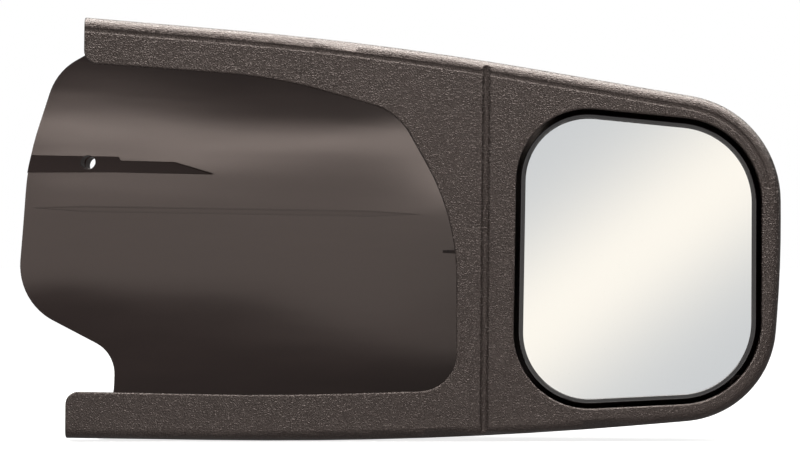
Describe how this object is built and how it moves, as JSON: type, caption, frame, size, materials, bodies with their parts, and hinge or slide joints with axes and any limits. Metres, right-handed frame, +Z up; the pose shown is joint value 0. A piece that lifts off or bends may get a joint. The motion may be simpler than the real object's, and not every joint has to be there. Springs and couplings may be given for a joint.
{
  "type": "towing mirror",
  "caption": "Slip-on towing mirror: hollow tapered sleeve open at one end with a window, and a second adjustable mirror glass at the other end.",
  "frame": {"origin": "centre of the sleeve's open inboard mouth, midway between the bezel's face and the back", "axes": "+X outboard along the sleeve, +Z up, -Y towards the driver, so both glasses face -Y"},
  "size_m": [0.4313, 0.104, 0.2341],
  "materials": {
    "grained_plastic": "leather grain",
    "shell_plastic": "smooth satin inside, fine grain outside",
    "inner_plastic": "as moulded",
    "rim_plastic": "gloss",
    "pad_foam": "closed-cell foam",
    "friction_rubber": "matt",
    "screw_steel": "zinc plated",
    "fork_steel": "zinc plated",
    "mirror": "polished"
  },
  "bodies": {
    "housing": {"front_bezel": "grained_plastic", "rear_shell": "shell_plastic", "bulkhead": "inner_plastic", "case_screws": "screw_steel", "upper_flange_pad": "pad_foam", "lower_flange_pad": "pad_foam", "stop_pad": "pad_foam", "pivot_base": "inner_plastic", "base_screws": "screw_steel", "friction_ring": "friction_rubber", "pivot_fork": "fork_steel", "fork_screws": "screw_steel"},
    "cross": {"pivot_cross": "fork_steel", "pan_pin": "screw_steel", "pan_pin_clips": "screw_steel", "tilt_pins": "screw_steel"},
    "mirror": {"swivel_plate": "inner_plastic", "glass_holder": "rim_plastic", "adhesive_pad": "pad_foam", "mirror_glass": "mirror"}
  },
  "joints": [
    {"name": "mirror_pan", "type": "hinge", "parent": "housing", "child": "cross", "pos_m": [0.3088, -0.031, -0.0182], "axis": [0, 0, 1], "range_deg": [-8, 8]},
    {"name": "mirror_tilt", "type": "hinge", "parent": "cross", "child": "mirror", "pos_m": [0.3088, -0.031, -0.0182], "axis": [1, 0, 0], "range_deg": [-8, 8]}
  ]
}
